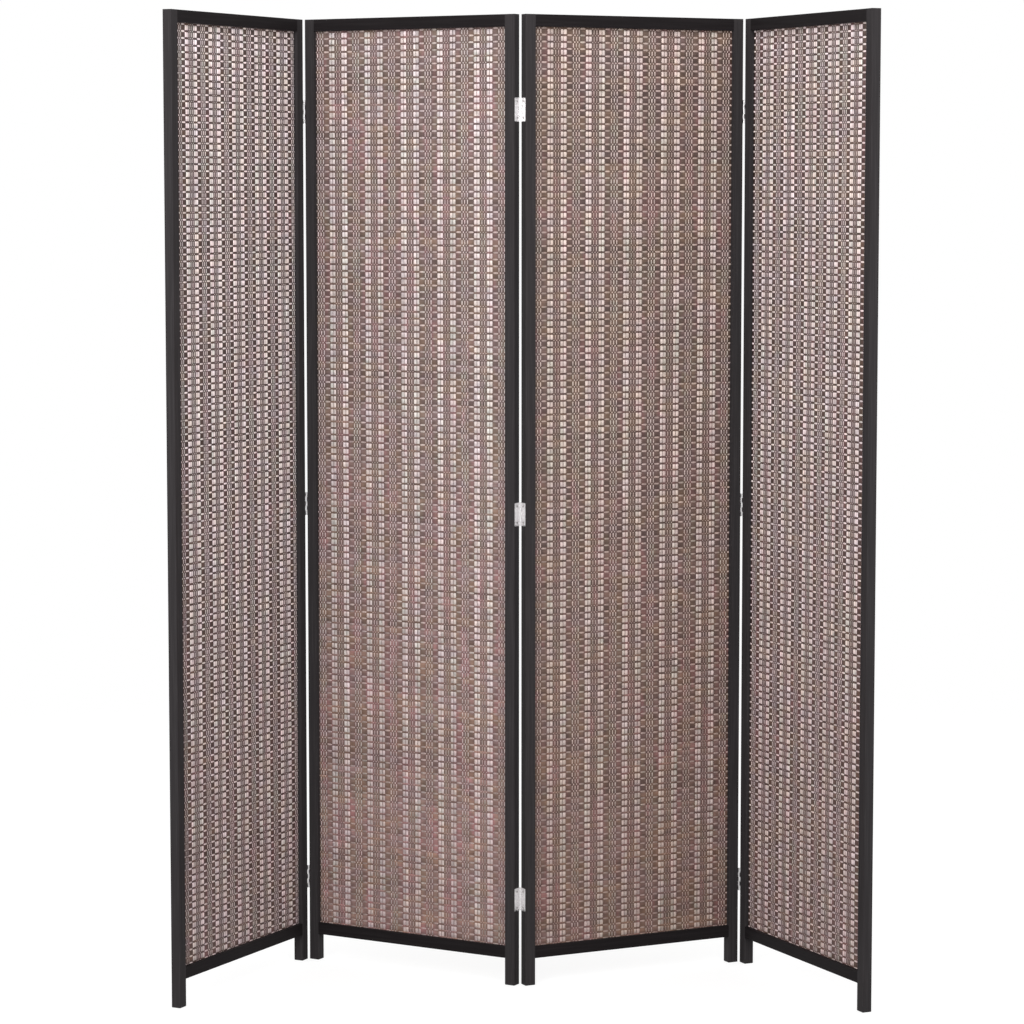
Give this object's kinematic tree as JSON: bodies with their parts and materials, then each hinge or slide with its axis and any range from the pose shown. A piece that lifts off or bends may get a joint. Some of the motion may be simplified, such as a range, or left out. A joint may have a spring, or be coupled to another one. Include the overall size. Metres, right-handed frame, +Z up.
{
  "type": "folding screen",
  "caption": "Folding room screen: black wooden frames on short legs, each filled with a striped woven mat, joined by butt hinges so that it stands in a zigzag and folds flat.",
  "frame": {"origin": "on the floor, under the middle of the standing screen's box", "axes": "+X along the row of panels to the right as seen from the front, +Y from the front to the back, +Z up"},
  "size_m": [1.255, 0.4492, 1.78],
  "materials": {
    "black_frame": "satin black paint on wood",
    "woven_splint": "matt woven plant-fibre strips in cream and brown stripes",
    "plated_steel": "bright zinc plate",
    "dowel_wood": "bare beech"
  },
  "bodies": {
    "panel_1": {"left_hinge_high_leaf_panel_1": "plated_steel", "left_hinge_low_leaf_panel_1": "plated_steel", "left_hinge_middle_leaf_panel_1": "plated_steel", "panel_1_bottom_rail": "black_frame", "panel_1_dowels": "dowel_wood", "panel_1_left_stile": "black_frame", "panel_1_right_hinge_screws": "plated_steel", "panel_1_right_stile": "black_frame", "panel_1_top_rail": "black_frame", "panel_1_woven_mat": "woven_splint"},
    "panel_2": {"centre_hinge_high_leaf_panel_2": "plated_steel", "centre_hinge_high_pin": "plated_steel", "centre_hinge_low_leaf_panel_2": "plated_steel", "centre_hinge_low_pin": "plated_steel", "centre_hinge_middle_leaf_panel_2": "plated_steel", "centre_hinge_middle_pin": "plated_steel", "left_hinge_high_leaf_panel_2": "plated_steel", "left_hinge_high_pin": "plated_steel", "left_hinge_low_leaf_panel_2": "plated_steel", "left_hinge_low_pin": "plated_steel", "left_hinge_middle_leaf_panel_2": "plated_steel", "left_hinge_middle_pin": "plated_steel", "panel_2_bottom_rail": "black_frame", "panel_2_dowels": "dowel_wood", "panel_2_left_hinge_screws": "plated_steel", "panel_2_left_stile": "black_frame", "panel_2_right_hinge_screws": "plated_steel", "panel_2_right_stile": "black_frame", "panel_2_top_rail": "black_frame", "panel_2_woven_mat": "woven_splint"},
    "panel_3": {"centre_hinge_high_leaf_panel_3": "plated_steel", "centre_hinge_low_leaf_panel_3": "plated_steel", "centre_hinge_middle_leaf_panel_3": "plated_steel", "panel_3_bottom_rail": "black_frame", "panel_3_dowels": "dowel_wood", "panel_3_left_hinge_screws": "plated_steel", "panel_3_left_stile": "black_frame", "panel_3_right_hinge_screws": "plated_steel", "panel_3_right_stile": "black_frame", "panel_3_top_rail": "black_frame", "panel_3_woven_mat": "woven_splint", "right_hinge_high_leaf_panel_3": "plated_steel", "right_hinge_high_pin": "plated_steel", "right_hinge_low_leaf_panel_3": "plated_steel", "right_hinge_low_pin": "plated_steel", "right_hinge_middle_leaf_panel_3": "plated_steel", "right_hinge_middle_pin": "plated_steel"},
    "panel_4": {"panel_4_bottom_rail": "black_frame", "panel_4_dowels": "dowel_wood", "panel_4_left_hinge_screws": "plated_steel", "panel_4_left_stile": "black_frame", "panel_4_right_stile": "black_frame", "panel_4_top_rail": "black_frame", "panel_4_woven_mat": "woven_splint", "right_hinge_high_leaf_panel_4": "plated_steel", "right_hinge_low_leaf_panel_4": "plated_steel", "right_hinge_middle_leaf_panel_4": "plated_steel"}
  },
  "joints": [
    {"name": "left_fold", "type": "hinge", "parent": "panel_2", "child": "panel_1", "pos_m": [-0.40481, 0.2088, 0.874], "axis": [0, 0, 1], "range_deg": [-93, 87]},
    {"name": "centre_fold", "type": "hinge", "parent": "panel_2", "child": "panel_3", "pos_m": [-0.00081, -0.00066, 0.874], "axis": [0, 0, 1], "range_deg": [-56.5, 123.5]},
    {"name": "right_fold", "type": "hinge", "parent": "panel_3", "child": "panel_4", "pos_m": [0.41522, 0.18374, 0.874], "axis": [0, 0, 1], "range_deg": [-89, 91]}
  ]
}
